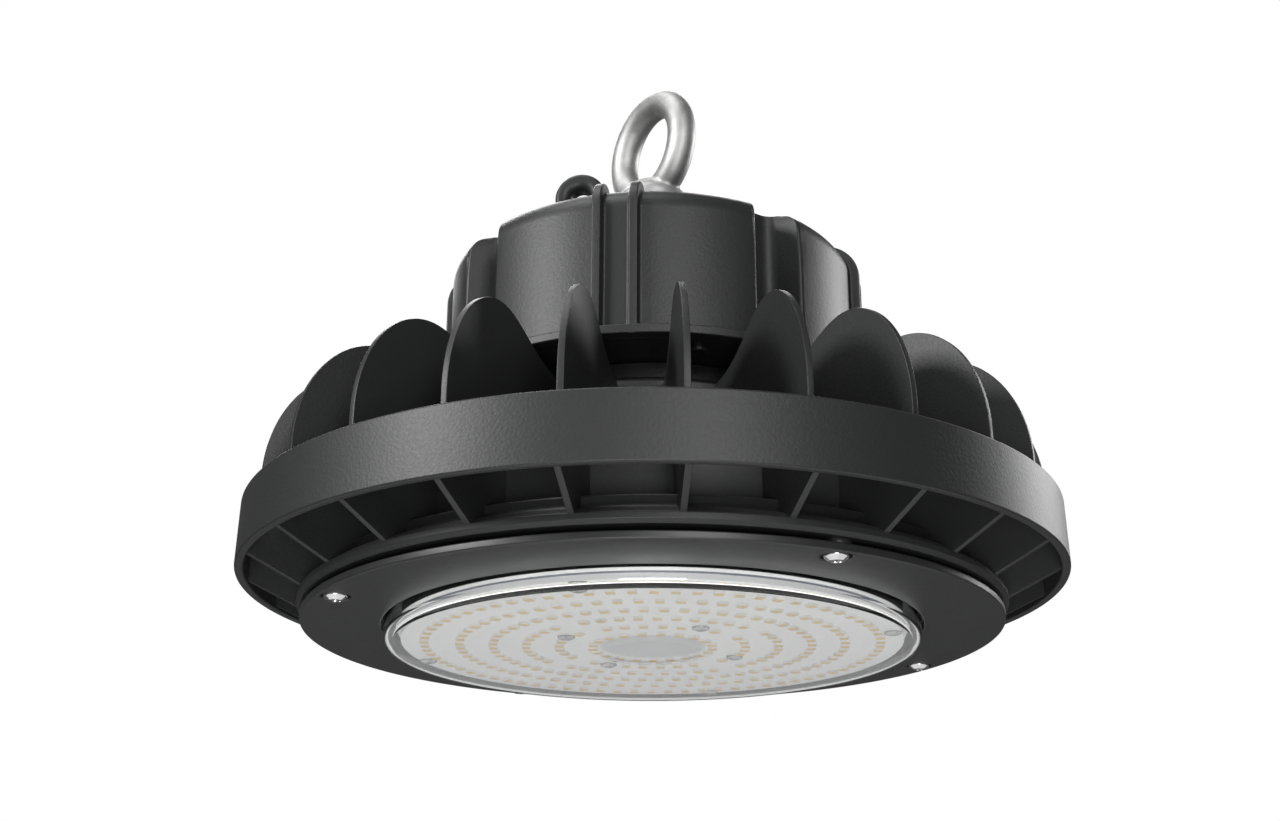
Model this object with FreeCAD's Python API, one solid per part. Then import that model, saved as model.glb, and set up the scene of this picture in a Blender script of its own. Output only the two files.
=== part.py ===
import FreeCAD, Part
import math
import os

# High bay light: a round cast heat sink with an LED board under a clear lens, and a sealed driver
# housing above it that hangs from an eye bolt. Millimetres, +Z up. The origin is the centre of the
# lens's lower face, and the front is -Y, the middle of one of the housing's four panels.
# Turns are degrees about Z, measured from the front towards +X.

Vector = FreeCAD.Vector
UP = Vector(0, 0, 1)
ORIGIN = Vector(0, 0, 0)

# Lens
lens_radius = 85.4
lens_wall = 1.8
lens_edge_round = 2.2
lens_flange_width = 7.0
lens_flange_thickness = 2.0
lens_dimple_radius = 18.5
lens_dimple_depth = 0.4
lens_dimple_slope = 0.4

# Bezel, the ring that clamps the lens, and its seal
bezel_land = 18.9
bezel_thickness = 2.5
bezel_height = 5.8
bezel_edge_round = 0.6
bezel_lens_gap = 0.7
seal_thickness = 1.6
seal_gap = 0.4
seal_boss_gap = 0.4
bezel_screw_inset = 6.1
bezel_screw_turn = 37.4
bezel_screw_count = 4
bezel_screw_radius = 2.0
bezel_screw_length = 9.0
bezel_head_radius = 3.6
bezel_head_height = 2.2
bezel_head_round = 1.4
counterbore_radius = 4.4
counterbore_depth = 1.2
clamp_boss_radius = 4.6

# LED board
board_edge_gap = 3.8
board_thickness = 1.6
board_lens_gap = 1.6
pad_thickness = 0.5
led_size = 3.0
led_height = 0.7
led_edge_inset = 7.3
led_outer_step = 11.1
led_inner_radius = 19.3
inner_ring_count = 21
screw_ring_places = 32
arc_ring_places = 44
third_ring_count = 54
second_ring_count = 63
outer_ring_count = 74
led_gap_turn = 60.5
board_screw_radius = 1.5
board_screw_length = 7.0
board_head_radius = 2.75
board_head_height = 1.0
outer_screw_inset = 2.85
outer_screw_turn = -6.2
inner_screw_offset = 0.8
board_screw_count = 4

# Heat sink
rim_overhang = 1.3
rim_chamfer = 1.2
rim_lip_height = 3.0
rim_slope_width = 3.2
rim_ledge_height = 5.5
rim_ledge_fall = 0.3
rim_step = 7.0
rim_step_round = 1.6
rim_thickness = 10.0
floor_cover = 3.1
hub_inset = 17.6
hub_wall = 3.5
hub_height = 43.9
band_reach = 19.4
band_taper = 0.5
band_wall = 2.8
band_height = 20.3
band_lift = 10.0
band_edge_round = 0.7
fin_count = 24
fin_turn = -1.5
fin_thickness = 2.0
fin_inner_radius = 24.0
short_fin_inner_radius = 48.0
fin_inner_drop = 19.7
fin_bell_width = 38.0
fin_bell_height = 12.3
fin_shoulder_width = 26.4
fin_crest_height = 67.0
fin_shoulder_drop = 36.0
fin_crest_pull = 12.0
fin_foot_pull = 18.0
fin_root_lift = 2.1
fin_band_inset = 1.8
fin_shoulder_inset = 4.9
column_radius = 12.0
pillar_top_radius = 4.8
pillar_foot_radius = 6.5
pillar_screw_radius = 2.0
pillar_screw_length = 20.0
pillar_head_radius = 2.9
pillar_head_height = 2.4

# Driver base and housing
driver_drop = 1.3
base_thickness = 2.0
base_gap = 0.3
gasket_thickness = 0.6
housing_radius = 68.4
housing_wall = 3.0
housing_height = 51.1
rebate_wall = 0.8
lip_width = 3.4
lip_height = 2.9
lip_round = 0.5
housing_shoulder_round = 8.5
housing_top_slope = 6.0
panel_count = 4
notch_turn = 45.0
notch_depth = 11.4
notch_ledge = 8.6
notch_floor_half = 5.2
notch_mouth_half = 8.9
notch_floor_round = 2.6
notch_round_limit = 0.8
notch_edge_round = 1.2
rib_thickness = 2.8
rib_spacing = 11.1
rib_height = 3.2
rib_reach = 11.0
rib_end_round = 2.5
hanger_boss_foot = 25.0
hanger_boss_top = 13.5
hanger_boss_height = 20.7
hanger_boss_round = 6.0
hanger_edge_round = 1.0
hanger_boss_depth = 17.0
nut_pocket_radius = 13.0
screw_boss_inset = 7.4
screw_boss_turn = 22.5
screw_boss_radius = 4.5
screw_boss_height = 20.0
housing_screw_radius = 2.0
housing_screw_length = 16.0
housing_head_radius = 3.5
housing_head_height = 2.2

# Safety lug, a cast ring on the housing's top
lug_radius = 8.2
lug_hole_radius = 3.0
lug_thickness = 8.0
lug_edge_round = 1.6
lug_bore_round = 3.0
lug_across = -15.4
lug_inset = 21.2
lug_rise = 4.8
lug_foot_width = 12.0

# Eye bolt
eye_turn = 45.0
eye_ring_radius = 17.5
eye_bar_radius = 5.0
eye_rise = 22.7
eye_collar_radius = 12.5
eye_collar_height = 3.0
eye_collar_round = 1.2
eye_seat_round = 0.8
eye_neck_round = 1.5
eye_neck_radius = 6.0
eye_shank_radius = 5.0
eye_shank_length = 31.0
eye_washer_radius = 12.5
eye_washer_thickness = 1.6
eye_nut_flats = 16.0
eye_nut_height = 8.4

# Cable gland on the back of the housing's top
gland_inset = 28.4
gland_pad_radius = 15.0
gland_pad_height = 2.3
gland_pad_thickness = 8.0
gland_thread_radius = 10.0
gland_thread_length = 14.0
gland_hex_flats = 24.0
gland_hex_height = 7.0
gland_neck_radius = 8.6
gland_neck_height = 9.0
gland_neck_bore = 6.6
gland_nut_height = 16.0
gland_nut_round = 4.0
gland_seal_radius = 6.4
gland_seal_height = 10.0
gland_bore_radius = 4.0
locknut_flats = 24.0
locknut_height = 5.0

# Driver electronics on their board
driver_board_gap = 6.0
driver_board_thickness = 1.6
standoff_height = 6.0
standoff_radius = 3.5
standoff_inset = 4.5
standoff_count = 4
standoff_screw_radius = 1.25
standoff_screw_length = 6.0
standoff_head_radius = 2.5
standoff_head_height = 1.6
core_length = 30.0
core_depth = 18.0
core_height = 24.0
winding_radius = 12.5
winding_height = 15.0
transformer_across = -16.0
transformer_back = 6.0
capacitor_radius = 8.0
capacitor_height = 25.0
capacitor_across = 24.0
capacitor_backs = (-16.0, 2.0)
capacitor_round = 1.2
choke_radius = 9.5
choke_bore = 4.0
choke_height = 12.0
choke_round = 2.5
choke_across = -8.0
choke_back = -24.0
terminal_length = 24.0
terminal_depth = 9.0
terminal_height = 12.0
terminal_inset = 16.0
terminal_ways = 3
terminal_port = 4.6

# Lead from the driver to the LED board, and the rubber bushes that seal it
lead_radius = 3.0
bush_wall = 2.0
bush_length = 9.0
grommet_flange = 2.0
grommet_flange_thickness = 1.2

# Shared clearances
slip_gap = 0.25
thread_gap = 0.05

# Heights, each worked out from the piece below it
bezel_top = bezel_height + bezel_thickness
rim_under = bezel_top + seal_thickness
lens_flange_top = bezel_top + lens_flange_thickness
recess_top = lens_flange_top + seal_thickness
board_face = lens_wall + board_lens_gap
board_back = board_face + board_thickness
pedestal_face = board_back + pad_thickness
rim_top = rim_under + rim_thickness
floor_top = recess_top + floor_cover
hub_top = floor_top + hub_height
band_bottom = rim_under + band_lift
band_top = band_bottom + band_height
fin_crest = floor_top + fin_crest_height
base_under = fin_crest - driver_drop
base_top = base_under + base_thickness
housing_bottom = base_under
rebate_top = base_top + gasket_thickness
notch_bottom = housing_bottom + notch_ledge
housing_corner = housing_bottom + housing_height
roof_slope = math.tan(math.radians(housing_top_slope))


def roof_height(radius):
    """Height of the housing's sloping top at a radius."""
    return housing_corner + (housing_radius - radius) * roof_slope


boss_top = roof_height(hanger_boss_foot) + hanger_boss_height
nut_seat = boss_top - hanger_boss_depth
eye_seat = boss_top + eye_washer_thickness
driver_board_under = base_top + standoff_height
driver_board_top = driver_board_under + driver_board_thickness

# Radii shared by pieces that fit each other
bezel_hole = lens_radius + bezel_lens_gap
lens_bore = lens_radius - lens_wall
lens_flange_radius = lens_radius + lens_flange_width
recess_radius = lens_flange_radius + seal_gap + seal_thickness
board_radius = lens_bore - board_edge_gap
bezel_radius = lens_flange_radius + bezel_land
bezel_screw_circle = bezel_radius - bezel_screw_inset
seal_radius = bezel_screw_circle - clamp_boss_radius - seal_boss_gap
rim_radius = bezel_radius + rim_overhang
rim_wall_radius = rim_radius - rim_step
hub_radius = rim_radius - hub_inset
band_radius = rim_radius + band_reach
fin_outer_radius = band_radius - band_taper - fin_shoulder_inset
fin_crest_radius = fin_outer_radius - fin_shoulder_width
fin_foot_radius = fin_crest_radius - fin_bell_width
lead_hole = lead_radius + bush_wall
lip_radius = housing_radius + lip_width
rebate_radius = housing_radius - rebate_wall
notch_floor = housing_radius - notch_depth
pillar_circle = housing_radius - notch_depth / 2
screw_boss_circle = housing_radius - screw_boss_inset
driver_board_radius = notch_floor - housing_wall - driver_board_gap
standoff_circle = driver_board_radius - standoff_inset
terminal_back = driver_board_radius - terminal_inset
lug_back = lug_inset - housing_radius
gland_back = housing_radius - gland_inset
gland_seat = roof_height(gland_back) + gland_pad_height

# LED rings: the outermost is set from the board's edge, and the five inside it are evenly spaced
outer_ring_radius = board_radius - led_edge_inset
second_ring_radius = outer_ring_radius - led_outer_step
ring_pitch = (second_ring_radius - led_inner_radius) / 4
screw_ring_radius = led_inner_radius + ring_pitch
arc_ring_radius = led_inner_radius + 2 * ring_pitch
third_ring_radius = led_inner_radius + 3 * ring_pitch
outer_screw_circle = board_radius - outer_screw_inset
inner_screw_circle = screw_ring_radius + inner_screw_offset

# Turns shared by pieces that line up
inner_screw_turn = led_gap_turn - 2 * 360.0 / screw_ring_places
fin_pitch = 360.0 / fin_count


def section(radius, height):
    """A point of a revolved or radial section, in the plane that faces the front."""
    return Vector(0, -radius, height)


def plan(height):
    """Gives a function that places plan points, across and towards the front, at a height."""
    def place(across, forward):
        return Vector(across, -forward, height)
    return place


def rounded_face(corners, place=section):
    """A flat face with straight sides. A corner is (a, b) or (a, b, radius)."""
    points = [place(corner[0], corner[1]) for corner in corners]
    radii = [corner[2] if len(corner) > 2 else 0 for corner in corners]
    arcs = []
    for index, here in enumerate(points):
        if not radii[index]:
            arcs.append((here, None, here))
            continue
        before = (points[index - 1] - here).normalize()
        after = (points[(index + 1) % len(points)] - here).normalize()
        half = before.getAngle(after) / 2
        reach = radii[index] / math.tan(half)
        inward = (before + after).normalize()
        middle = here + inward * (radii[index] / math.sin(half) - radii[index])
        arcs.append((here + before * reach, middle, here + after * reach))
    edges = []
    for index, (start, middle, end) in enumerate(arcs):
        if middle:
            edges.append(Part.Arc(start, middle, end).toShape())
        following = arcs[(index + 1) % len(arcs)][0]
        if end.distanceToPoint(following) > 1e-6:
            edges.append(Part.LineSegment(end, following).toShape())
    return Part.Face(Part.Wire(edges))


def turned(corners):
    """A solid of revolution about Z from section corners."""
    return rounded_face(corners).revolve(ORIGIN, UP, 360)


def rod(radius, bottom, height, across=0, back=0):
    """An upright cylinder. Its place is given across (+X) and back (+Y)."""
    return Part.makeCylinder(radius, height, Vector(across, back, bottom))


def hexagon(flats, bottom, height, across=0, back=0):
    """An upright hexagonal prism, given by its width across flats."""
    corner = flats / math.sqrt(3)
    points = []
    for step in range(7):
        angle = math.radians(60 * step)
        points.append(Vector(across + corner * math.cos(angle), back + corner * math.sin(angle), bottom))
    return Part.Face(Part.makePolygon(points)).extrude(UP * height)


def around(shape, count, turn):
    """Copies of a shape that is modelled at the front, evenly spaced about Z."""
    copies = []
    for step in range(count):
        copy = shape.copy()
        copy.rotate(ORIGIN, UP, turn + 360.0 * step / count)
        copies.append(copy)
    return copies


def joined(shapes):
    """One solid from shapes that overlap or touch."""
    return shapes[0].multiFuse(shapes[1:]).removeSplitter()


def group(shapes):
    """Separate solids kept together in one node."""
    return Part.makeCompound(shapes)


def pan_screw(radius, length, head_radius, head_height, head_round, seat, circle):
    """A screw at the front with its head below the seat and its shank above it."""
    head = turned([
        (0, seat - head_height),
        (head_radius, seat - head_height, head_round),
        (head_radius, seat),
        (radius, seat),
        (radius, seat + length),
        (0, seat + length),
    ])
    head.translate(Vector(0, -circle, 0))
    return head


def top_screw(radius, length, head_radius, head_height, seat, circle):
    """A screw at the front with its head above the seat and its shank below it."""
    head = turned([
        (0, seat + head_height),
        (head_radius, seat + head_height, head_height / 2),
        (head_radius, seat),
        (radius, seat),
        (radius, seat - length),
        (0, seat - length),
    ])
    head.translate(Vector(0, -circle, 0))
    return head


def screw_holes(radius, bottom, height, circle, count, turn):
    """Upright holes on a circle, as tools to cut with."""
    return around(rod(radius, bottom, height, 0, -circle), count, turn)


# Lens: a moulded clear cup with a flange that the bezel clamps, and a shallow dimple in its middle
def make_lens():
    return turned([
        (0, lens_dimple_depth),
        (lens_dimple_radius, lens_dimple_depth),
        (lens_dimple_radius + lens_dimple_slope, 0),
        (lens_radius, 0, lens_edge_round),
        (lens_radius, bezel_top),
        (lens_flange_radius, bezel_top),
        (lens_flange_radius, lens_flange_top),
        (lens_bore, lens_flange_top),
        (lens_bore, lens_wall, lens_edge_round / 2),
        (0, lens_wall),
    ])


# Lens seal: a stepped silicone ring over the lens's flange and round it
def make_lens_seal():
    return turned([
        (lens_radius, lens_flange_top),
        (lens_flange_radius + seal_gap, lens_flange_top),
        (lens_flange_radius + seal_gap, bezel_top),
        (seal_radius, bezel_top),
        (seal_radius, rim_under),
        (recess_radius, rim_under),
        (recess_radius, recess_top),
        (lens_radius, recess_top),
    ])


# Bezel: a flat ring with four counterbored screw holes
def make_bezel():
    ring = turned([
        (bezel_hole, bezel_height, bezel_edge_round),
        (bezel_radius, bezel_height, bezel_edge_round),
        (bezel_radius, bezel_top, bezel_edge_round),
        (bezel_hole, bezel_top),
    ])
    holes = screw_holes(bezel_screw_radius + slip_gap, bezel_height, bezel_thickness,
                        bezel_screw_circle, bezel_screw_count, bezel_screw_turn)
    pockets = screw_holes(counterbore_radius, bezel_height, counterbore_depth,
                          bezel_screw_circle, bezel_screw_count, bezel_screw_turn)
    return ring.cut(holes + pockets)


def make_bezel_screws():
    screw = pan_screw(bezel_screw_radius, bezel_screw_length, bezel_head_radius, bezel_head_height,
                      bezel_head_round, bezel_height + counterbore_depth, bezel_screw_circle)
    return group(around(screw, bezel_screw_count, bezel_screw_turn))


# LED board: a round metal-core board, its chips on the lower face and a thermal pad behind it
def board_screw_holes(radius, bottom, height):
    outer = screw_holes(radius, bottom, height, outer_screw_circle, board_screw_count, outer_screw_turn)
    inner = screw_holes(radius, bottom, height, inner_screw_circle, board_screw_count, inner_screw_turn)
    return outer + inner


def make_led_board():
    disc = rod(board_radius, board_face, board_thickness)
    return disc.cut(board_screw_holes(board_screw_radius + slip_gap, board_face, board_thickness))


def make_thermal_pad():
    disc = rod(board_radius, board_back, pad_thickness)
    holes = board_screw_holes(board_screw_radius + slip_gap, board_back, pad_thickness)
    return disc.cut(holes + [rod(lead_radius + slip_gap, board_back, pad_thickness)])


def make_led_chips():
    full_rings = (
        (outer_ring_radius, outer_ring_count),
        (second_ring_radius, second_ring_count),
        (third_ring_radius, third_ring_count),
        (led_inner_radius, inner_ring_count),
    )
    places = []
    for radius, count in full_rings:
        places += [(radius, 360.0 * step / count) for step in range(count)]
    for step in range(arc_ring_places):
        if step % (arc_ring_places // board_screw_count):
            places.append((arc_ring_radius, led_gap_turn + 360.0 * step / arc_ring_places))
    # In the screw ring each quarter leaves out its gap, and its screw two places before the gap.
    quarter = screw_ring_places // board_screw_count
    for step in range(screw_ring_places):
        if step % quarter not in (0, quarter - 2):
            places.append((screw_ring_radius, led_gap_turn + 360.0 * step / screw_ring_places))
    chips = []
    for radius, turn in places:
        corner = Vector(-led_size / 2, -radius - led_size / 2, board_face - led_height)
        chip = Part.makeBox(led_size, led_size, led_height, corner)
        chip.rotate(ORIGIN, UP, turn)
        chips.append(chip)
    return group(chips)


def make_board_screws():
    screws = []
    for circle, turn in ((outer_screw_circle, outer_screw_turn), (inner_screw_circle, inner_screw_turn)):
        screw = pan_screw(board_screw_radius, board_screw_length, board_head_radius, board_head_height,
                          board_head_height / 2, board_face, circle)
        screws += around(screw, board_screw_count, turn)
    return group(screws)


# Heat sink: one casting of a floor, a hub wall, a hollow column for the lead, pillars for the driver,
# bell-shaped radial fins and a tapered band round them
def fin_face(inner_radius):
    """A fin's outline: a quarter ellipse up to the crest, a bell curve down to the foot, then a slope."""
    root = rim_radius - rim_chamfer
    band_seat = band_radius - band_wall / 2
    band_seat_top = band_seat - band_taper
    outer = fin_outer_radius
    crest = fin_crest
    shoulder = crest - fin_shoulder_drop
    foot = crest - fin_bell_height
    slope = fin_inner_drop / (fin_foot_radius - fin_inner_radius)
    tip = foot - slope * (fin_foot_radius - inner_radius)
    inside_floor = floor_top - floor_cover / 2
    band_inside = band_top - fin_band_inset / 2
    sides = [
        section(inner_radius, tip),
        section(inner_radius, inside_floor),
        section(root, inside_floor),
        section(root, rim_under + fin_root_lift),
        section(band_seat, band_bottom + fin_band_inset),
        section(max(band_seat_top, outer), band_inside),
        section(outer, band_inside),
        section(outer, shoulder),
    ]
    edges = []
    for start, end in zip(sides, sides[1:]):
        if start.distanceToPoint(end) > 1e-6:
            edges.append(Part.LineSegment(start, end).toShape())
    axis_ends = [section(fin_crest_radius, crest), section(outer, shoulder)]
    if crest - shoulder < outer - fin_crest_radius:
        axis_ends.reverse()
    quarter = Part.Ellipse(axis_ends[0], axis_ends[1], section(fin_crest_radius, shoulder))
    start = quarter.parameter(section(outer, shoulder))
    end = quarter.parameter(section(fin_crest_radius, crest))
    edges.append(short_arc(quarter, start, end))
    bell = Part.BezierCurve()
    bell.setPoles([
        section(fin_crest_radius, crest),
        section(fin_crest_radius - fin_crest_pull, crest),
        section(fin_foot_radius + fin_foot_pull, foot),
        section(fin_foot_radius, foot),
    ])
    edges.append(bell.toShape())
    edges.append(Part.LineSegment(section(fin_foot_radius, foot), sides[0]).toShape())
    return Part.Face(Part.Wire(Part.__sortEdges__(edges)))


def short_arc(curve, start, end):
    """The shorter arc of an ellipse between two of its parameters."""
    low, high = sorted((start, end))
    if high - low > math.pi:
        low, high = high, low + 2 * math.pi
    return curve.toShape(low, high)


def make_heat_sink():
    body = turned([
        (lead_hole, pedestal_face),
        (board_radius, pedestal_face),
        (board_radius, recess_top),
        (recess_radius, recess_top),
        (recess_radius, rim_under),
        (rim_radius - rim_chamfer, rim_under),
        (rim_radius, rim_under + rim_chamfer),
        (rim_radius, rim_under + rim_lip_height, rim_chamfer / 2),
        (rim_radius - rim_slope_width, rim_under + rim_ledge_height - rim_ledge_fall, rim_step_round),
        (rim_wall_radius, rim_under + rim_ledge_height, rim_step_round),
        (rim_wall_radius, rim_top, rim_step_round / 2),
        (hub_radius, rim_top, rim_step_round),
        (hub_radius, hub_top, hub_wall / 4),
        (hub_radius - hub_wall, hub_top, hub_wall / 4),
        (hub_radius - hub_wall, floor_top),
        (column_radius, floor_top),
        (column_radius, base_under),
        (lead_hole, base_under),
    ])
    band = turned([
        (band_radius - band_wall, band_bottom, band_edge_round),
        (band_radius, band_bottom, band_edge_round),
        (band_radius - band_taper, band_top, band_edge_round),
        (band_radius - band_taper - band_wall, band_top, band_edge_round),
    ])
    fins = []
    for inner_radius, turn in ((fin_inner_radius, fin_turn), (short_fin_inner_radius, fin_turn + fin_pitch)):
        fin = fin_face(inner_radius).extrude(Vector(fin_thickness, 0, 0))
        fin.translate(Vector(-fin_thickness / 2, 0, 0))
        fins += around(fin, fin_count // 2, turn)
    pillar = Part.makeCone(pillar_foot_radius, pillar_top_radius, base_under - floor_top,
                           section(pillar_circle, floor_top))
    clamp_boss = rod(clamp_boss_radius, bezel_top, seal_thickness, 0, -bezel_screw_circle)
    casting = joined([body, band] + fins + around(pillar, panel_count, notch_turn)
                     + around(clamp_boss, bezel_screw_count, bezel_screw_turn))
    pillar_hole = pillar_screw_length - notch_ledge + slip_gap
    bezel_hole_depth = bezel_screw_length - bezel_thickness + counterbore_depth + slip_gap
    board_hole_depth = board_screw_length - board_thickness - pad_thickness + slip_gap
    holes = screw_holes(pillar_screw_radius + thread_gap, base_under - pillar_hole, pillar_hole,
                        pillar_circle, panel_count, notch_turn)
    holes += screw_holes(bezel_screw_radius + thread_gap, bezel_top, bezel_hole_depth,
                         bezel_screw_circle, bezel_screw_count, bezel_screw_turn)
    holes += board_screw_holes(board_screw_radius + thread_gap, pedestal_face, board_hole_depth)
    return casting.cut(holes)


# Pillar screws: one in each of the housing's notches, down through its ledge into a pillar
def make_pillar_screws():
    screw = top_screw(pillar_screw_radius, pillar_screw_length, pillar_head_radius, pillar_head_height,
                      notch_bottom, pillar_circle)
    return group(around(screw, panel_count, notch_turn))


# Driver housing: a round cast cover with a lip, four notches, paired ribs, a hanger boss and a safety lug
def notch_tools(grow, bottom, height):
    """The four upright notches, each side moved into the housing by grow."""
    side = math.hypot(notch_mouth_half - notch_floor_half, housing_radius - notch_floor)
    spread = (notch_mouth_half - notch_floor_half) / (housing_radius - notch_floor)
    floor = notch_floor - grow
    floor_half = notch_floor_half + grow * side / (housing_radius - notch_floor) - grow * spread
    mouth = housing_radius + rib_height
    mouth_half = floor_half + (mouth - floor) * spread
    corner = notch_floor_round + grow
    face = rounded_face([
        (-mouth_half, mouth),
        (-floor_half, floor, min(corner, floor_half * notch_round_limit)),
        (floor_half, floor, min(corner, floor_half * notch_round_limit)),
        (mouth_half, mouth),
    ], plan(bottom))
    return around(face.extrude(UP * height), panel_count, notch_turn)


def soften_notches(blank, tools):
    """Cuts the notches and rounds the edges that they leave on the housing's side and top."""
    cut = blank.cut(tools)
    skins = [tool.Shells[0] for tool in tools]
    edges = []
    for edge in cut.Edges:
        middle = edge.valueAt((edge.FirstParameter + edge.LastParameter) / 2)
        spot = Part.Vertex(middle)
        on_blank = blank.Shells[0].distToShape(spot)[0] < 1e-4
        on_notch = min(skin.distToShape(spot)[0] for skin in skins) < 1e-4
        if on_blank and on_notch and middle.z > notch_bottom + 1e-4:
            edges.append(edge)
    return cut.makeFillet(notch_edge_round, edges)


# Driver base: a plate let into the housing's lower edge, on a gasket, that carries the driver board
def make_driver_base():
    plate = rod(rebate_radius - base_gap, base_under, base_thickness)
    plate = plate.cut(notch_tools(rebate_wall + base_gap, base_under, base_thickness))
    standoffs = screw_holes(standoff_radius, base_top, standoff_height, standoff_circle, standoff_count, 0)
    plate = joined([plate] + standoffs)
    holes = screw_holes(housing_screw_radius + slip_gap, base_under, base_thickness,
                        screw_boss_circle, panel_count, screw_boss_turn)
    screw_depth = standoff_screw_length - driver_board_thickness + slip_gap
    holes += screw_holes(standoff_screw_radius + thread_gap, driver_board_under - screw_depth, screw_depth,
                         standoff_circle, standoff_count, 0)
    holes.append(rod(lead_hole, base_under, base_thickness))
    return plate.cut(holes)


def make_housing_gasket():
    ring = rod(rebate_radius - base_gap, base_top, gasket_thickness)
    ring = ring.cut(notch_tools(rebate_wall + base_gap, base_top, gasket_thickness))
    hole = rod(housing_radius - housing_wall, base_top, gasket_thickness)
    hole = hole.cut(notch_tools(housing_wall, base_top, gasket_thickness))
    return ring.cut(hole)


def rib_plate():
    """One rib at the front: it climbs from the lip, follows the rounded edge and ends on the top."""
    outer = housing_radius + rib_height
    corner = housing_corner + rib_height
    end = housing_radius - rib_reach
    face = rounded_face([
        (outer, housing_bottom + lip_round),
        (outer, corner, housing_shoulder_round + rib_height),
        (end, corner + roof_slope * (outer - end), rib_end_round),
        (end, housing_corner - housing_wall / 2),
        (housing_radius - housing_wall / 2, housing_corner - housing_shoulder_round),
        (housing_radius - housing_wall / 2, housing_bottom + lip_round),
    ])
    plate = face.extrude(Vector(rib_thickness, 0, 0))
    plate.translate(Vector(-rib_thickness / 2, 0, 0))
    return plate


def make_lug():
    """The safety ring, its hole facing the front, on a short foot."""
    centre = roof_height(math.hypot(lug_across, lug_back)) + lug_rise
    front = lug_back - lug_thickness / 2
    ring = Part.makeCylinder(lug_radius, lug_thickness, Vector(lug_across, front, centre), Vector(0, 1, 0))
    ring = ring.makeFillet(lug_edge_round, [e for e in ring.Edges if e.isClosed()])
    foot = Part.makeBox(lug_foot_width, lug_thickness, lug_rise + housing_wall / 2,
                        Vector(lug_across - lug_foot_width / 2, front,
                               centre - lug_rise - housing_wall / 2))
    return ring.fuse(foot)


def lug_bore():
    """The tool that cuts the safety ring's hole, with rounded mouths."""
    centre = roof_height(math.hypot(lug_across, lug_back)) + lug_rise
    half = lug_thickness / 2
    wide = lug_hole_radius + lug_bore_round
    tool = turned([
        (0, -half - lug_bore_round),
        (wide, -half - lug_bore_round),
        (wide, -half),
        (lug_hole_radius, -half + lug_bore_round),
        (lug_hole_radius, half - lug_bore_round),
        (wide, half),
        (wide, half + lug_bore_round),
        (0, half + lug_bore_round),
    ])
    tool.rotate(ORIGIN, Vector(1, 0, 0), 90)
    tool.translate(Vector(lug_across, lug_back, centre))
    return tool


def make_driver_housing():
    outside = turned([
        (0, housing_bottom),
        (lip_radius, housing_bottom, lip_round),
        (lip_radius, housing_bottom + lip_height, lip_round),
        (housing_radius, housing_bottom + lip_height),
        (housing_radius, housing_corner, housing_shoulder_round),
        (hanger_boss_foot, roof_height(hanger_boss_foot), hanger_boss_round),
        (hanger_boss_top, boss_top, hanger_edge_round),
        (0, boss_top),
    ])
    height = housing_height + hanger_boss_height + housing_radius
    outside = soften_notches(outside, notch_tools(0, notch_bottom, height))
    inner_radius = housing_radius - housing_wall
    roof_drop = housing_wall / math.cos(math.radians(housing_top_slope))
    cavity = turned([
        (0, housing_bottom),
        (inner_radius, housing_bottom),
        (inner_radius, roof_height(inner_radius) - roof_drop, housing_shoulder_round - housing_wall),
        (nut_pocket_radius, roof_height(nut_pocket_radius) - roof_drop),
        (nut_pocket_radius, nut_seat),
        (0, nut_seat),
    ])
    cavity = cavity.cut(notch_tools(housing_wall, housing_bottom, height))
    shell = outside.cut(cavity)
    ribs = []
    for side in (-1, 1):
        rib = rib_plate()
        rib.translate(Vector(side * rib_spacing / 2, 0, 0))
        ribs += around(rib, panel_count, 0)
    screw_bosses = screw_holes(screw_boss_radius, rebate_top, screw_boss_height,
                               screw_boss_circle, panel_count, screw_boss_turn)
    gland_pad = rod(gland_pad_radius, gland_seat - gland_pad_thickness, gland_pad_thickness, 0, gland_back)
    casting = joined([shell] + ribs + screw_bosses + [gland_pad, make_lug()])
    rebate = rod(rebate_radius, housing_bottom, rebate_top - housing_bottom)
    tools = [rebate.cut(notch_tools(rebate_wall, housing_bottom, rebate_top - housing_bottom))]
    screw_depth = housing_screw_length - base_thickness - gasket_thickness + slip_gap
    tools += screw_holes(housing_screw_radius + thread_gap, rebate_top, screw_depth,
                         screw_boss_circle, panel_count, screw_boss_turn)
    tools += screw_holes(pillar_screw_radius + slip_gap, housing_bottom, notch_ledge,
                         pillar_circle, panel_count, notch_turn)
    tools.append(rod(eye_shank_radius + thread_gap, nut_seat, hanger_boss_depth))
    tools.append(rod(gland_thread_radius + thread_gap, gland_seat - gland_pad_thickness,
                     gland_pad_thickness, 0, gland_back))
    tools.append(lug_bore())
    return casting.cut(tools)


def make_housing_screws():
    screw = pan_screw(housing_screw_radius, housing_screw_length, housing_head_radius,
                      housing_head_height, housing_head_height / 2, base_under, screw_boss_circle)
    return group(around(screw, panel_count, screw_boss_turn))


# Eye bolt: a forged ring on a collar, held by a washer above the boss and a nut below it
def make_eye_bolt():
    ring_height = eye_seat + eye_rise
    turn = math.radians(eye_turn)
    through = Vector(math.cos(turn), math.sin(turn), 0)
    ring = Part.makeTorus(eye_ring_radius, eye_bar_radius, Vector(0, 0, ring_height), through)
    collar_top = ring_height - eye_ring_radius + eye_bar_radius / 2
    collar = turned([
        (0, eye_seat - eye_shank_length),
        (eye_shank_radius, eye_seat - eye_shank_length, eye_seat_round),
        (eye_shank_radius, eye_seat),
        (eye_collar_radius, eye_seat, eye_seat_round),
        (eye_collar_radius, eye_seat + eye_collar_height, eye_collar_round),
        (eye_neck_radius, collar_top, eye_neck_round),
        (0, collar_top),
    ])
    return joined([collar, ring])


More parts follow.
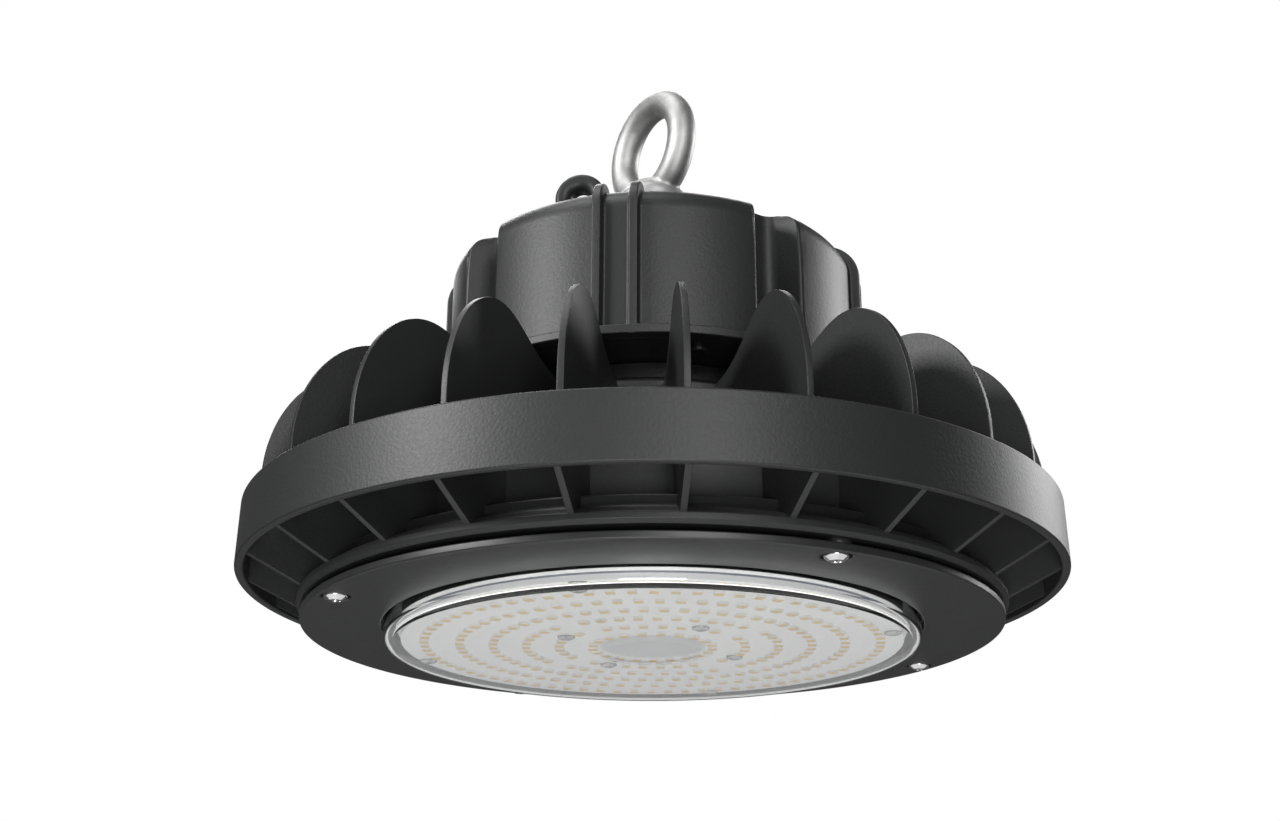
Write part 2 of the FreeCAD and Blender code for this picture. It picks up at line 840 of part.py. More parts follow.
def make_eye_washer():
    disc = rod(eye_washer_radius, boss_top, eye_washer_thickness)
    return disc.cut(rod(eye_shank_radius + slip_gap, boss_top, eye_washer_thickness))


def make_eye_nut():
    bottom = nut_seat - eye_nut_height
    return hexagon(eye_nut_flats, bottom, eye_nut_height).cut(
        rod(eye_shank_radius + thread_gap, bottom, eye_nut_height))


# Cable gland: a hexagonal body in the housing's top, a rubber seal, a dome nut and a locknut inside
def make_gland_body():
    seat = gland_seat
    stem = seat - gland_thread_length
    neck = seat + gland_hex_height
    body = joined([
        hexagon(gland_hex_flats, seat, gland_hex_height, 0, gland_back),
        rod(gland_thread_radius, stem, gland_thread_length, 0, gland_back),
        rod(gland_neck_radius, neck, gland_neck_height, 0, gland_back),
    ])
    return body.cut(rod(gland_neck_bore, stem, neck + gland_neck_height - stem, 0, gland_back))


def make_gland_seal():
    bottom = gland_seat + gland_hex_height + gland_neck_height - gland_seal_height / 2
    seal = rod(gland_seal_radius, bottom, gland_seal_height, 0, gland_back)
    return seal.cut(rod(gland_bore_radius, bottom, gland_seal_height, 0, gland_back))


def make_gland_nut():
    bottom = gland_seat + gland_hex_height
    top = bottom + gland_nut_height
    corner = gland_hex_flats / math.sqrt(3)
    blank = hexagon(gland_hex_flats, bottom, gland_nut_height, 0, gland_back)
    dome = turned([
        (0, bottom),
        (corner, bottom),
        (corner, top, gland_nut_round),
        (0, top),
    ])
    dome.translate(Vector(0, gland_back, 0))
    neck_top = bottom + gland_neck_height
    seal_top = neck_top + gland_seal_height / 2
    tools = [
        rod(gland_neck_radius + thread_gap, bottom, gland_neck_height + slip_gap, 0, gland_back),
        rod(gland_seal_radius + thread_gap, bottom, seal_top - bottom, 0, gland_back),
        rod(gland_bore_radius, bottom, gland_nut_height, 0, gland_back),
    ]
    return blank.common(dome).cut(tools)


def make_gland_locknut():
    top = gland_seat - gland_pad_thickness
    nut = hexagon(locknut_flats, top - locknut_height, locknut_height, 0, gland_back)
    return nut.cut(rod(gland_thread_radius + thread_gap, top - locknut_height, locknut_height, 0, gland_back))


# Driver: a round board on the base's standoffs, with its main components
def make_driver_board():
    disc = rod(driver_board_radius, driver_board_under, driver_board_thickness)
    return disc.cut(screw_holes(standoff_screw_radius + slip_gap, driver_board_under,
                                driver_board_thickness, standoff_circle, standoff_count, 0))


def make_driver_board_screws():
    screw = top_screw(standoff_screw_radius, standoff_screw_length, standoff_head_radius,
                      standoff_head_height, driver_board_top, standoff_circle)
    return group(around(screw, standoff_count, 0))


def make_transformer():
    """An E-core pair round an upright winding."""
    core = Part.makeBox(core_length, core_depth, core_height,
                        Vector(transformer_across - core_length / 2, transformer_back - core_depth / 2,
                               driver_board_top))
    winding = rod(winding_radius, driver_board_top + (core_height - winding_height) / 2, winding_height,
                  transformer_across, transformer_back)
    return joined([core, winding])


def make_capacitors():
    cans = []
    for back in capacitor_backs:
        can = turned([
            (0, driver_board_top),
            (capacitor_radius, driver_board_top),
            (capacitor_radius, driver_board_top + capacitor_height, capacitor_round),
            (0, driver_board_top + capacitor_height),
        ])
        can.translate(Vector(capacitor_across, back, 0))
        cans.append(can)
    return group(cans)


def make_choke():
    ring = turned([
        (choke_bore, driver_board_top),
        (choke_radius, driver_board_top, choke_round),
        (choke_radius, driver_board_top + choke_height, choke_round),
        (choke_bore, driver_board_top + choke_height),
    ])
    ring.translate(Vector(choke_across, choke_back, 0))
    return ring


def make_terminal_block():
    block = Part.makeBox(terminal_length, terminal_depth, terminal_height,
                         Vector(-terminal_length / 2, terminal_back - terminal_depth / 2,
                                driver_board_top))
    pitch = terminal_length / terminal_ways
    ports = []
    for way in range(terminal_ways):
        across = pitch * (way + 0.5) - terminal_length / 2
        ports.append(Part.makeBox(terminal_port, terminal_depth / 2, terminal_port,
                                  Vector(across - terminal_port / 2, terminal_back,
                                         driver_board_top + terminal_height / 4)))
    return block.cut(ports)


# Lead: one sheathed lead from the driver board down the column to the LED board, sealed at each end
def make_output_lead():
    return rod(lead_radius, board_back, driver_board_under - board_back)


def make_lead_bush():
    """A plain rubber bush in the foot of the column."""
    bush = rod(lead_hole, pedestal_face, bush_length)
    return bush.cut(rod(lead_radius, pedestal_face, bush_length))


def make_lead_grommet():
    """A rubber grommet in the driver base, with its flange on the base's upper face."""
    flange = lead_hole + grommet_flange
    flange_top = base_top + grommet_flange_thickness
    return turned([
        (lead_radius, base_under),
        (lead_hole, base_under),
        (lead_hole, base_top),
        (flange, base_top),
        (flange, flange_top),
        (lead_radius, flange_top),
    ])


NODES = {
    "lens": make_lens,
    "lens_seal": make_lens_seal,
    "bezel": make_bezel,
    "bezel_screws": make_bezel_screws,
    "led_board": make_led_board,
    "led_chips": make_led_chips,
    "led_board_screws": make_board_screws,
    "thermal_pad": make_thermal_pad,
    "heat_sink": make_heat_sink,
    "pillar_screws": make_pillar_screws,
    "driver_base": make_driver_base,
    "housing_gasket": make_housing_gasket,
    "driver_housing": make_driver_housing,
    "housing_screws": make_housing_screws,
    "eye_bolt": make_eye_bolt,
    "eye_washer": make_eye_washer,
    "eye_nut": make_eye_nut,
    "gland_body": make_gland_body,
    "gland_seal": make_gland_seal,
    "gland_nut": make_gland_nut,
    "gland_locknut": make_gland_locknut,
    "driver_board": make_driver_board,
    "driver_board_screws": make_driver_board_screws,
    "transformer": make_transformer,
    "capacitors": make_capacitors,
    "line_choke": make_choke,
    "terminal_block": make_terminal_block,
    "output_lead": make_output_lead,
    "lead_bush": make_lead_bush,
    "lead_grommet": make_lead_grommet,
}

os.makedirs("parts", exist_ok=True)
for name, make in NODES.items():
    make().exportStep("parts/" + name + ".step")
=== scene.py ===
import math

import bmesh
import bpy
from mathutils import Matrix, Vector


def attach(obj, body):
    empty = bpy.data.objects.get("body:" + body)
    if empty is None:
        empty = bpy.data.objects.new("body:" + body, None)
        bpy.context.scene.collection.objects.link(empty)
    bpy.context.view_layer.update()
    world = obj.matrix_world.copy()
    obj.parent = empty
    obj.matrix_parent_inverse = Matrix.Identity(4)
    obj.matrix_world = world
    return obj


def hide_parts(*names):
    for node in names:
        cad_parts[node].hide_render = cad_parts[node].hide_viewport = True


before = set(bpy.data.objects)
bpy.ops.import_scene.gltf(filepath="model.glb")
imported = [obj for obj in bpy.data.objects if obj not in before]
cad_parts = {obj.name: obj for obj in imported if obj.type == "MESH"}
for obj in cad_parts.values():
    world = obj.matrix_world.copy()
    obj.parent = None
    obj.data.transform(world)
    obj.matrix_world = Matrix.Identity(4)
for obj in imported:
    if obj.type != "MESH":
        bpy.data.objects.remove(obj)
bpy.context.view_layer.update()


# Heat sink
# One aluminium die casting under a charcoal powder coat with a fine leathery grain. Its floor carries
# the LED board, bell-shaped fins stand all round on it, and a tapered band ties their outer ends.

class Finish:
    """A socket in a material's nodes. Sums and products of it are Math nodes, node() adds any other."""

    def __init__(self, tree, socket=None):
        self.tree = tree
        self.socket = socket

    def node(self, kind, settings, values, output=0):
        """A new node with its settings made and its inputs fed, as the socket of one of its outputs."""
        made = self.tree.nodes.new(kind)
        for name, value in settings.items():
            setattr(made, name, value)
        for name, value in values.items():
            self.feed(made.inputs[name], value)
        return Finish(self.tree, made.outputs[output])

    def feed(self, socket, value):
        """Links an input to another node's socket, or sets it to a plain value."""
        if isinstance(value, Finish):
            self.tree.links.new(value.socket, socket)
        else:
            socket.default_value = value

    def maths(self, operation, other):
        return self.node("ShaderNodeMath", {"operation": operation}, {0: self, 1: other})

    def __add__(self, other):
        return self.maths("ADD", other)

    def __mul__(self, other):
        return self.maths("MULTIPLY", other)

    __radd__ = __add__
    __rmul__ = __mul__


def new_finish(name, **fixed):
    """A material, its shader with the named sockets set, its nodes and the place on the object."""
    material = bpy.data.materials.new(name)
    material.use_nodes = True
    skin = material.node_tree.nodes["Principled BSDF"]
    for socket, value in fixed.items():
        skin.inputs[socket.replace("_", " ")].default_value = value
    nodes = Finish(material.node_tree)
    spot = nodes.node("ShaderNodeTexCoord", {}, {}, "Object")
    return material, skin, nodes, spot


def noise(nodes, spot, scale, detail=2.0, roughness=0.5):
    return nodes.node("ShaderNodeTexNoise", {}, {"Vector": spot, "Scale": scale, "Detail": detail,
                                                 "Roughness": roughness}, "Fac")


def shades(nodes, amount, dark, light):
    """A colour between two, by an amount from 0 to 1."""
    first_colour, second_colour, mixed_colour = 6, 7, 2
    return nodes.node("ShaderNodeMix", {"data_type": "RGBA"},
                      {"Factor": amount, first_colour: (*dark, 1), second_colour: (*light, 1)},
                      mixed_colour)


def grain(nodes, height, strength, depth):
    """A normal from a height pattern, whose depth is given in metres."""
    return nodes.node("ShaderNodeBump", {},
                      {"Strength": strength, "Distance": depth, "Height": height}, "Normal")


powder_coat, skin, nodes, spot = new_finish("powder coat", Specular_IOR_Level=0.42)
pebbles = nodes.node("ShaderNodeTexVoronoi", {"feature": "SMOOTH_F1"},
                     {"Vector": spot, "Scale": 1000.0, "Smoothness": 0.5}, "Distance")
wrinkles = noise(nodes, spot, scale=1400.0, detail=3.0)
charcoal = shades(nodes, noise(nodes, spot, scale=14.0),
                  dark=(0.012, 0.0125, 0.0125), light=(0.017, 0.0175, 0.0175))
leather = grain(nodes, pebbles * 0.6 + wrinkles * 0.7, strength=0.3, depth=0.00016)
nodes.feed(skin.inputs["Base Color"], charcoal)
nodes.feed(skin.inputs["Roughness"], 0.42 + wrinkles * 0.10)
nodes.feed(skin.inputs["Normal"], leather)


def as_mesh(shape):
    mesh = bpy.data.meshes.new("shape")
    shape.to_mesh(mesh)
    shape.free()
    return mesh


def rounded(corners, closed=True, arc_steps=5):
    """The points of a section, in mm. A corner is (radius, height) or (radius, height, round)."""
    points = []
    for index, corner in enumerate(corners):
        here = Vector(corner[:2])
        if len(corner) < 3 or (not closed and index in (0, len(corners) - 1)):
            points.append(here)
            continue
        before = (Vector(corners[index - 1][:2]) - here).normalized()
        after = (Vector(corners[(index + 1) % len(corners)][:2]) - here).normalized()
        half = before.angle(after) / 2
        centre = here + (before + after).normalized() * corner[2] / math.sin(half)
        first = here + before * corner[2] / math.tan(half) - centre
        last = here + after * corner[2] / math.tan(half) - centre
        start = math.atan2(first.y, first.x)
        sweep = math.atan2(first.cross(last), first.dot(last))
        for step in range(arc_steps + 1):
            angle = start + sweep * step / arc_steps
            points.append(centre + corner[2] * Vector((math.cos(angle), math.sin(angle))))
    return points


def lathe(corners, steps=240, arc_steps=5):
    """A mesh turned about Z from a section in mm."""
    touching = 1e-7
    shape = bmesh.new()
    ring = [shape.verts.new((p.x / 1000, 0, p.y / 1000)) for p in rounded(corners, True, arc_steps)]
    sides = []
    for first, second in zip(ring, ring[1:] + ring[:1]):
        if max(first.co.x, second.co.x) > touching:
            sides.append(shape.edges.new((first, second)))
    bmesh.ops.spin(shape, geom=ring + sides, axis=(0, 0, 1), cent=(0, 0, 0), angle=math.tau, steps=steps,
                   use_merge=True)
    bmesh.ops.remove_doubles(shape, verts=shape.verts, dist=touching)
    bmesh.ops.recalc_face_normals(shape, faces=shape.faces)
    return as_mesh(shape)


def moved(mesh, across=0.0, back=0.0, up=0.0):
    """The mesh after a move given in mm."""
    mesh.transform(Matrix.Translation((across / 1000, back / 1000, up / 1000)))
    return mesh


def applied(piece):
    """The piece with its modifiers worked into its mesh."""
    bpy.context.view_layer.update()
    mesh = bpy.data.meshes.new_from_object(piece.evaluated_get(bpy.context.evaluated_depsgraph_get()))
    piece.modifiers.clear()
    piece.data = mesh
    return piece


def new_object(name, data):
    made = bpy.data.objects.new(name, data)
    bpy.context.scene.collection.objects.link(made)
    return made


def new_piece(name, meshes, finish, *replaced, sharp=32.0):
    """One finished object from meshes: smooth faces, sharp edges kept, riding on the light's one body."""
    shape = bmesh.new()
    for mesh in meshes:
        shape.from_mesh(mesh)
    piece = new_object(name, as_mesh(shape))
    piece.data.materials.clear()
    piece.data.materials.append(finish)
    piece.data.shade_smooth()
    piece.data.set_sharp_from_angle(angle=math.radians(sharp))
    piece.modifiers.new("Even normals", "WEIGHTED_NORMAL").keep_sharp = True
    applied(piece)
    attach(piece, "root")
    for node in replaced:
        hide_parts(node)
    return piece


# The tree that repeats a shape about the light's axis, leaving out the places named as gaps
axis_tree = bpy.data.node_groups.new("Around the axis", "GeometryNodeTree")
axis_inputs = {}
for name, kind in (("Geometry", "Geometry"), ("Count", "Int"), ("Turn", "Float"), ("Gap Every", "Int"),
                   ("First Gap", "Int"), ("Second Gap", "Int"), ("Finish", "Material")):
    socket = axis_tree.interface.new_socket(name, in_out="INPUT", socket_type="NodeSocket" + kind)
    axis_inputs[name] = socket.identifier
axis_tree.interface.new_socket("Geometry", in_out="OUTPUT", socket_type="NodeSocketGeometry")


def axis_node(kind, settings, links):
    """A node of the tree. A link is a value, or another node with one of its outputs' names."""
    made = axis_tree.nodes.new(kind)
    for name, value in settings.items():
        setattr(made, name, value)
    for socket, source in links.items():
        if isinstance(source, tuple):
            axis_tree.links.new(source[0].outputs[source[1]], made.inputs[socket])
        else:
            made.inputs[socket].default_value = source
    return made


given = axis_node("NodeGroupInput", {}, {})
places = axis_node("GeometryNodePoints", {}, {"Count": (given, "Count")})
index = axis_node("GeometryNodeInputIndex", {}, {})
pitch = axis_node("ShaderNodeMath", {"operation": "DIVIDE"}, {0: math.tau, 1: (given, "Count")})
step = axis_node("ShaderNodeMath", {"operation": "MULTIPLY"}, {0: (index, "Index"), 1: (pitch, 0)})
angle = axis_node("ShaderNodeMath", {"operation": "ADD"}, {0: (step, 0), 1: (given, "Turn")})
spin = axis_node("ShaderNodeCombineXYZ", {}, {"Z": (angle, 0)})
facing = axis_node("FunctionNodeEulerToRotation", {}, {0: (spin, 0)})
phase = axis_node("FunctionNodeIntegerMath", {"operation": "MODULO"},
                  {0: (index, "Index"), 1: (given, "Gap Every")})
kept = [axis_node("FunctionNodeCompare", {"data_type": "INT", "operation": "NOT_EQUAL"},
                  {"A": (phase, 0), "B": (given, gap)}) for gap in ("First Gap", "Second Gap")]
both = axis_node("FunctionNodeBooleanMath", {"operation": "AND"}, {0: (kept[0], 0), 1: (kept[1], 0)})
copies = axis_node("GeometryNodeInstanceOnPoints", {},
                   {"Points": (places, 0), "Selection": (both, 0), "Instance": (given, "Geometry"),
                    "Rotation": (facing, 0)})
solid = axis_node("GeometryNodeRealizeInstances", {}, {"Geometry": (copies, 0)})
coated = axis_node("GeometryNodeSetMaterial", {}, {"Geometry": (solid, 0), "Material": (given, "Finish")})
axis_node("NodeGroupOutput", {}, {"Geometry": (coated, 0)})

no_gap = 999


def around(mesh, finish, count, turn=0.0, gap_every=1000, gaps=(no_gap, no_gap)):
    """The mesh, modelled at the front, repeated about the axis. The turn is in degrees."""
    row = new_object("row", mesh)
    pattern = row.modifiers.new("Around the axis", "NODES")
    pattern.node_group = axis_tree
    for name, value in (("Count", count), ("Turn", math.radians(turn)), ("Gap Every", gap_every),
                        ("First Gap", gaps[0]), ("Second Gap", gaps[1]), ("Finish", finish)):
        pattern[axis_inputs[name]] = value
    repeated = applied(row).data
    bpy.data.objects.remove(row)
    return repeated


# Radii and heights in mm, from the axis and from the lens's face
lead_bore = 5.0
pedestal_radius, pedestal_face = 79.8, 5.5
seal_shelf = 11.9
rim_bore, rim_radius, rim_chamfer, rim_face, rim_top = 94.4, 112.6, 1.2, 9.9, 12.9
cove_radius, cove_top, cove_lip_radius, cove_lip = 105.6, 15.4, 109.4, 15.1
step_top = 19.9
hub_radius, hub_bore, hub_top = 95.0, 91.5, 52.0
floor_top = 15.0
drum_radius, drum_top = 60.0, 70.6
neck_radius, neck_step, neck_top_radius, neck_top_step, neck_top = 50.0, 74.6, 48.8, 75.2, 80.4
column_radius, driver_seat = 12.0, 80.7
sink_body = lathe([
    (lead_bore, pedestal_face), (pedestal_radius, pedestal_face, 0.4), (pedestal_radius, seal_shelf, 0.5),
    (rim_bore, seal_shelf, 0.5), (rim_bore, rim_face, 0.3), (rim_radius - rim_chamfer, rim_face, 0.3),
    (rim_radius, rim_face + rim_chamfer, 0.4), (rim_radius, rim_top, 0.6), (cove_lip_radius, cove_lip, 2.0),
    (cove_radius, cove_top, 2.4), (cove_radius, step_top, 0.8), (hub_radius, step_top, 1.6),
    (hub_radius, hub_top, 0.9), (hub_bore, hub_top, 0.9), (hub_bore, floor_top, 2.0),
    (drum_radius, floor_top, 2.5), (drum_radius, drum_top, 1.0), (neck_radius, drum_top, 1.0),
    (neck_radius, neck_step, 0.5), (neck_top_radius, neck_top_step, 0.5), (neck_top_radius, neck_top, 0.4),
    (column_radius, neck_top), (column_radius, driver_seat, 0.1), (lead_bore, driver_seat, 0.3),
])

band_radius, band_wall, band_taper, band_foot, band_top = 132.0, 2.8, 0.5, 19.9, 40.2
band_edge = 0.7
band_top_radius = band_radius - band_taper
band = lathe([
    (band_radius - band_wall, band_foot, band_edge), (band_radius, band_foot, band_edge),
    (band_top_radius, band_top, band_edge), (band_top_radius - band_wall, band_top, band_edge),
])

fin_thickness, fin_edge = 2.0, 0.3
fin_crest, fin_shoulder, fin_foot = (100.2, 82.0), (126.6, 46.0), (62.2, 69.7)
fin_bell = (fin_crest, (88.2, fin_crest[1]), (80.2, fin_foot[1]), fin_foot)
fin_inner_slope = 19.7 / 38.2
fin_root, fin_rim_foot = 13.4, 12.0
fin_in_band, fin_band_foot, fin_band_top = 1.6, 21.7, 39.3
curve_steps = 24


def fin(inner_radius):
    """A fin at the front: a quarter ellipse up to its crest, a bell curve down to its foot, then a slope."""
    rim_edge = rim_radius - rim_chamfer
    outline = [
        (inner_radius, fin_foot[1] - (fin_foot[0] - inner_radius) * fin_inner_slope),
        (inner_radius, fin_root), (rim_edge, fin_root), (rim_edge, fin_rim_foot),
        (band_radius - fin_in_band, fin_band_foot), (band_top_radius - fin_in_band, fin_band_top),
        (fin_shoulder[0], fin_band_top),
    ]
    for step in range(curve_steps + 1):
        angle = math.radians(90) * step / curve_steps
        outline.append((fin_crest[0] + (fin_shoulder[0] - fin_crest[0]) * math.cos(angle),
                        fin_shoulder[1] + (fin_crest[1] - fin_shoulder[1]) * math.sin(angle)))
    for step in range(1, curve_steps + 1):
        t = step / curve_steps
        weights = ((1 - t) ** 3, 3 * t * (1 - t) ** 2, 3 * t * t * (1 - t), t ** 3)
        outline.append(tuple(sum(w * pole[i] for w, pole in zip(weights, fin_bell)) for i in (0, 1)))
    shape = bmesh.new()
    side = fin_thickness / 2000
    near = shape.faces.new([shape.verts.new((-side, -r / 1000, z / 1000)) for r, z in outline])
    far = bmesh.ops.extrude_face_region(shape, geom=[near], use_keep_orig=True)["geom"]
    far_verts = [v for v in far if isinstance(v, bmesh.types.BMVert)]
    bmesh.ops.translate(shape, vec=(2 * side, 0, 0), verts=far_verts)
    edges = [e for e in shape.edges if abs(e.verts[0].co.x - e.verts[1].co.x) < side]
    bmesh.ops.bevel(shape, geom=edges, offset=fin_edge / 1000, segments=2, profile=0.5, affect="EDGES")
    bmesh.ops.recalc_face_normals(shape, faces=shape.faces)
    return as_mesh(shape)


pillar_place, pillar_foot, pillar_foot_radius, pillar_top_radius = 62.7, 14.0, 6.5, 4.8
pillar = lathe([
    (0, pillar_foot), (pillar_foot_radius, pillar_foot), (pillar_top_radius, driver_seat, 0.4),
    (0, driver_seat),
], 40)
bezel_back = 8.3
bezel_screw_place, bezel_screw_turn = 105.2, 37.4
clamp_boss_radius, clamp_boss_top = 4.6, 10.4
clamp_boss = lathe([
    (0, bezel_back), (clamp_boss_radius, bezel_back, 0.3), (clamp_boss_radius, clamp_boss_top),
    (0, clamp_boss_top),
], 40)
heat_sink = new_piece("heat_sink_casting", [
    sink_body,
    band,
    around(fin(inner_radius=24.0), powder_coat, count=12, turn=-1.5),
    around(fin(inner_radius=48.0), powder_coat, count=12, turn=13.5),
    around(moved(pillar, back=-pillar_place), powder_coat, count=4, turn=45.0),
    around(moved(clamp_boss, back=-bezel_screw_place), powder_coat, count=4, turn=bezel_screw_turn),
], powder_coat, "heat_sink")


# Thermal pad
# A thin grey silicone sheet, cut round, that carries the LED board's heat into the casting. The board
# covers it, so it keeps its solid.

def dress(node, finish):
    """Gives a CAD node its finish."""
    node_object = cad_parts[node]
    node_object.data.materials.clear()
    node_object.data.materials.append(finish)


def mottled(name, scale, dark, light, **fixed):
    """A material that wanders between two colours, by noise of the given scale."""
    material, skin, nodes, spot = new_finish(name, **fixed)
    nodes.feed(skin.inputs["Base Color"], shades(nodes, noise(nodes, spot, scale), dark, light))
    return material


pad_grey = mottled("thermal pad", scale=900.0, dark=(0.24, 0.26, 0.29), light=(0.32, 0.34, 0.37),
                   Roughness=0.7)
dress("thermal_pad", pad_grey)


# Pedestal edge
# A pale ring round the pedestal's bevelled edge, under the board. Its pale colour is a painted reflection:
# it puts a bright band into the near wall of the lens, where it shows through.

# Painted reflection: a pale colour for the ring, so that the lens's near wall shows a bright band
pale_ring_painted_reflection = mottled("pale ring painted reflection", scale=500.0, dark=(0.82, 0.82, 0.81), light=(0.88, 0.88, 0.87),
                    Roughness=0.4)
edge_bore, edge_foot_radius, edge_radius = 79.6, 80.2, 80.8
edge_foot, edge_bevel_top, edge_top = 5.6, 6.2, 6.4
edge_ring = lathe([
    (edge_bore, edge_foot), (edge_foot_radius, edge_foot), (edge_radius, edge_bevel_top),
    (edge_radius, edge_top), (edge_bore, edge_top),
])
pedestal_edge = new_piece("pedestal_edge", [edge_ring], pale_ring_painted_reflection)


# LED board
# A round metal-core circuit board under white solder mask, screwed to the casting through the pad. In the
# middle, inside the innermost ring of LEDs, the mask is painted greyer as painted shade.

board_white, skin, nodes, spot = new_finish("white solder mask", Specular_IOR_Level=0.4)
# Painted shade: a grey disc in the middle of the board, fading to the white mask between these radii
painted_shade_radius, painted_shade_edge = 0.0160, 0.0182
mask_mottle = noise(nodes, spot, scale=60.0, detail=3.0)
from_axis = nodes.node("ShaderNodeVectorMath", {"operation": "LENGTH"}, {0: spot}, "Value")
outside = nodes.node("ShaderNodeMapRange", {"interpolation_type": "SMOOTHSTEP"},
                     {"Value": from_axis, "From Min": painted_shade_radius, "From Max": painted_shade_edge})
# The mask's colour: a random mottle, with the painted shade in the middle
mask_tone_and_painted_shade = shades(nodes, outside * 0.8 + mask_mottle * 0.2,
                     dark=(0.54, 0.545, 0.55), light=(0.83, 0.83, 0.825))
nodes.feed(skin.inputs["Base Color"], mask_tone_and_painted_shade)
nodes.feed(skin.inputs["Roughness"], 0.62 + mask_mottle * 0.12)
nodes.feed(skin.inputs["Normal"], grain(nodes, noise(nodes, spot, scale=700.0), strength=0.15, depth=0.0001))
dress("led_board", board_white)


# LEDs
# White moulded packages 3 mm square, soldered in six rings, each with a square cream phosphor window.
# The two rings beside the inner screws leave places out for them.

led_white = mottled("led package", scale=400.0, dark=(0.82, 0.81, 0.78), light=(0.88, 0.87, 0.85),
                    Roughness=0.7)
phosphor = mottled("led phosphor", scale=1500.0, dark=(0.64, 0.46, 0.15), light=(0.74, 0.55, 0.21),
                   Roughness=0.6)
board_face = 3.4
led_width, led_height, led_round = 3.0, 0.7, 0.3
window_width, window_height, window_middle, window_round = 2.7, 0.1, 2.68, 0.4


def block(size, centre, round_size, segments, chosen):
    """A box in mm. It is rounded along the edges whose two ends' heights, in metres, are chosen."""
    shape = bmesh.new()
    bmesh.ops.create_cube(shape, size=1.0)
    bmesh.ops.scale(shape, vec=[s / 1000 for s in size], verts=shape.verts)
    bmesh.ops.translate(shape, vec=[c / 1000 for c in centre], verts=shape.verts)
    edges = [e for e in shape.edges if chosen(e.verts[0].co.z, e.verts[1].co.z)]
    bmesh.ops.bevel(shape, geom=edges, offset=round_size / 1000, segments=segments, profile=0.5,
                    affect="EDGES")
    return as_mesh(shape)


def led_body(radius):
    """A package at the front, hanging under the board, rounded except where it meets the board."""
    middle = board_face - led_height / 2
    return block((led_width, led_width, led_height), (0, -radius, middle), led_round, 2,
                 lambda a, b: min(a, b) < middle / 1000)


def led_window(radius):
    """The phosphor window of a package, a rounded square that stands a little proud of it."""
    return block((window_width, window_width, window_height), (0, -radius, window_middle), window_round, 2,
                 lambda a, b: abs(a - b) > window_height / 2000)


led_rings = (
    (72.5, {"count": 74}),
    (61.4, {"count": 63}),
    (50.875, {"count": 54}),
    (40.35, {"count": 44, "turn": 60.5, "gap_every": 11, "gaps": (0, no_gap)}),
    (29.825, {"count": 32, "turn": 60.5, "gap_every": 8, "gaps": (0, 6)}),
    (19.3, {"count": 21}),
)
packages = [around(led_body(radius), led_white, **row) for radius, row in led_rings]
windows = [around(led_window(radius), phosphor, **row) for radius, row in led_rings]
led_packages = new_piece("led_packages", packages, led_white, "led_chips")
led_windows = new_piece("led_windows", windows, phosphor)


# LED board screws
# Small nickel-plated pan-head screws with a cross recess, four near the board's edge and four inside,
# driven through the board and pad into the casting.

def varied(skin, nodes, amount, dark, light, smoothest, spread):
    """Lets a finish's colour and roughness wander with an amount from 0 to 1."""
    nodes.feed(skin.inputs["Base Color"], shades(nodes, amount, dark, light))
    nodes.feed(skin.inputs["Roughness"], smoothest + amount * spread)


nickel, skin, nodes, spot = new_finish("nickel plate", Metallic=1.0)
varied(skin, nodes, noise(nodes, spot, scale=900.0), dark=(0.10, 0.10, 0.10), light=(0.50, 0.495, 0.49),
       smoothest=0.16, spread=0.12)


def cut_by(mesh, tools):
    """The mesh after the tool meshes are cut out of it."""
    blank = new_object("blank", mesh)
    for tool in tools:
        cutter = new_object("cutter", tool)
        cut = blank.modifiers.new("Cut", "BOOLEAN")
        cut.operation = "DIFFERENCE"
        cut.solver = "EXACT"
        cut.object = cutter
        applied(blank)
        bpy.data.objects.remove(cutter)
    result = blank.data
    bpy.data.objects.remove(blank)
    return result


def cross_bars(width, reach, floor, mouth):
    """The two bars of a cross recess as separate cutters, narrower at the recess's floor."""
    floor_share = 0.6
    bars = []
    for across, along in ((width, reach), (reach, width)):
        shape = bmesh.new()
        bmesh.ops.create_cube(shape, size=1.0)
        for vert in shape.verts:
            deep = vert.co.z > 0
            taper = floor_share if deep else 1.0
            vert.co = Vector((vert.co.x * across * taper, vert.co.y * along * taper,
                              floor if deep else mouth)) / 1000
        bmesh.ops.recalc_face_normals(shape, faces=shape.faces)
        bars.append(as_mesh(shape))
    return bars


board_shank_radius, board_shank_end = 1.5, 4.4
board_head_radius, board_head_edge = 2.75, 2.9
board_dome, board_dome_radius, board_dome_edge = 2.3, 1.6, 2.42
board_head = lathe([
    (0, board_dome), (board_dome_radius, board_dome_edge, 0.6), (board_head_radius, board_head_edge, 0.4),
    (board_head_radius, board_face), (board_shank_radius, board_face), (board_shank_radius, board_shank_end),
    (0, board_shank_end),
], 40)
board_head = cut_by(board_head, cross_bars(width=0.8, reach=3.4, floor=3.3, mouth=2.0))
outer_screw_place, inner_screw_place = 76.95, 30.625
outer_heads = around(moved(board_head.copy(), back=-outer_screw_place), nickel, count=4, turn=-6.2)
inner_heads = around(moved(board_head, back=-inner_screw_place), nickel, count=4, turn=38.0)
board_screws = new_piece("board_screws", [outer_heads, inner_heads], nickel, "led_board_screws")


# Lens seal
# A stepped black silicone ring, moulded in one piece, squeezed between the lens, bezel and casting.
# Hardly any of it shows, so it keeps its solid.

seal_black, skin, nodes, spot = new_finish("black silicone", Specular_IOR_Level=0.3)
varied(skin, nodes, noise(nodes, spot, scale=350.0), dark=(0.008, 0.008, 0.009), light=(0.014, 0.014, 0.015),
       smoothest=0.6, spread=0.15)
dress("lens_seal", seal_black)


# Lens
# A clear polycarbonate moulding: a shallow cup with a rounded edge and a dimple in the middle. The bezel
# clamps it by its flange.

